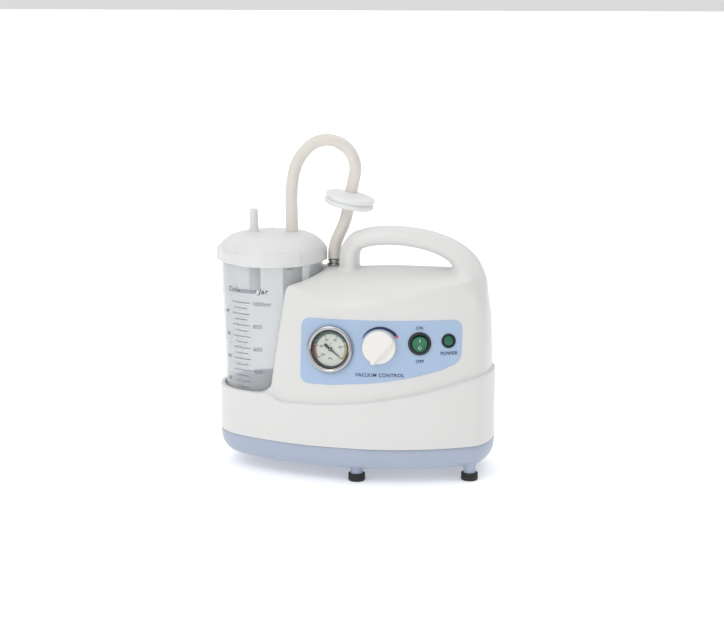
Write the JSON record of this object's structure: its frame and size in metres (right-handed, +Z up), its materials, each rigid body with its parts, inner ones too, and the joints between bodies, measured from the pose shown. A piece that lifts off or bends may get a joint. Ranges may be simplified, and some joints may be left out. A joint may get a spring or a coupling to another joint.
{
  "type": "portable suction pump",
  "caption": "Portable medical suction pump: moulded housing with carrying handle, clear graduated canister, lid with float valve, filter hose, vacuum gauge, regulator and power switch.",
  "frame": {"origin": "on the surface under the feet, at the centre of the box round the housing, canister and lid, hose left out", "axes": "front panel faces -Y, +X to the right with the canister at the -X end, +Z up"},
  "size_m": [0.2924, 0.1561, 0.3469],
  "materials": {
    "housing_white": "satin moulded ABS",
    "base_blue": "satin moulded ABS",
    "panel_blue": "printed overlay",
    "clear_canister": "clear polycarbonate",
    "lid_white": "slightly translucent moulded plastic",
    "hose_silicone": "milky translucent silicone",
    "filter_white": "moulded polypropylene",
    "filter_media": "hydrophobic membrane",
    "foot_rubber": "black rubber",
    "black_plastic": "moulded",
    "bezel_chrome": "polished",
    "dial_face": "printed dial",
    "gauge_lens": "clear flat lens",
    "needle_black": "painted",
    "knob_white": "moulded",
    "rocker_green": "translucent rocker, lit",
    "lamp_green": "faceted lens",
    "barb_metal": "nickel plated",
    "seal_silicone": "silicone",
    "float_plastic": "hollow ball",
    "zinc_steel": "zinc plated",
    "shaft_steel": "ground",
    "movement_brass": "machined",
    "pump_aluminium": "die cast",
    "motor_paint": "black paint",
    "motor_iron": "laminated iron and ferrite"
  },
  "bodies": {
    "housing": {"base_tray": "base_blue", "crankcase": "pump_aluminium", "cylinder_block": "pump_aluminium", "exhaust_muffler": "black_plastic", "exhaust_tube": "hose_silicone", "foot_posts": "base_blue", "foot_rings": "foot_rubber", "foot_screws": "zinc_steel", "front_panel": "panel_blue", "gauge_bezel": "bezel_chrome", "gauge_case": "black_plastic", "gauge_dial": "dial_face", "gauge_glass": "gauge_lens", "gauge_movement": "movement_brass", "gauge_tube": "hose_silicone", "handle_front": "housing_white", "handle_rear": "housing_white", "head_bolts": "zinc_steel", "hose_barb": "barb_metal", "housing_front": "housing_white", "housing_rear": "housing_white", "housing_screws": "zinc_steel", "isolators": "foot_rubber", "lamp_body": "black_plastic", "lamp_lens": "lamp_green", "motor_can": "motor_paint", "motor_end_caps": "motor_paint", "motor_magnets": "motor_iron", "power_inlet": "black_plastic", "power_pins": "movement_brass", "pump_bracket": "zinc_steel", "pump_head": "pump_aluminium", "regulator_nut": "zinc_steel", "regulator_valve": "movement_brass", "switch_body": "black_plastic", "tray_screws": "zinc_steel", "vacuum_tube": "hose_silicone", "valve_plate": "shaft_steel"},
    "canister": {"canister": "clear_canister"},
    "lid": {"canister_lid": "lid_white", "lid_gasket": "seal_silicone", "inlet_guard": "lid_white", "float_cage": "lid_white", "hose_upper": "hose_silicone", "hose_lower": "hose_silicone", "filter_upper": "filter_white", "filter_lower": "filter_white", "filter_membrane": "filter_media"},
    "float": {"float_ball": "float_plastic"},
    "knob": {"regulator_knob": "knob_white", "regulator_stem": "shaft_steel"},
    "rocker": {"switch_rocker": "rocker_green"},
    "needle": {"gauge_needle": "needle_black"},
    "rotor": {"motor_shaft": "shaft_steel", "motor_armature": "motor_iron", "crank_eccentric": "shaft_steel", "cooling_fan": "black_plastic"},
    "piston": {"piston": "pump_aluminium", "connecting_rod": "pump_aluminium", "piston_seal": "seal_silicone"}
  },
  "joints": [
    {"name": "canister_lift", "type": "slide", "parent": "housing", "child": "canister", "axis": [0, 0, 1], "range_m": [0, 0.16]},
    {"name": "lid_lift", "type": "slide", "parent": "canister", "child": "lid", "axis": [0, 0, 1], "range_m": [0, 0.06]},
    {"name": "float_rise", "type": "slide", "parent": "lid", "child": "float", "axis": [0, 0, 1], "range_m": [0, 0.034]},
    {"name": "knob_turn", "type": "hinge", "parent": "housing", "child": "knob", "pos_m": [0.038, -0.06309, 0.1412], "axis": [0.1182, -0.9846, 0.1289], "range_deg": [-35, 95]},
    {"name": "rocker_tilt", "type": "hinge", "parent": "housing", "child": "rocker", "pos_m": [0.07665, -0.05158, 0.14413], "axis": [0.9579, 0.2872, 0], "range_deg": [-16, 0]},
    {"name": "needle_swing", "type": "hinge", "parent": "housing", "child": "needle", "pos_m": [-0.0118, -0.06458, 0.137], "axis": [-0.0665, -0.9896, 0.1277], "range_deg": [0, 254], "stiffness_Nm_per_rad": 0.0002},
    {"name": "rotor_spin", "type": "hinge", "parent": "housing", "child": "rotor", "pos_m": [0.06, 0.015, 0.075], "axis": [1, 0, 0], "continuous": true},
    {"name": "piston_stroke", "type": "slide", "parent": "housing", "child": "piston", "axis": [0, 0, 1], "range_m": [-0.004, 0.004]}
  ]
}
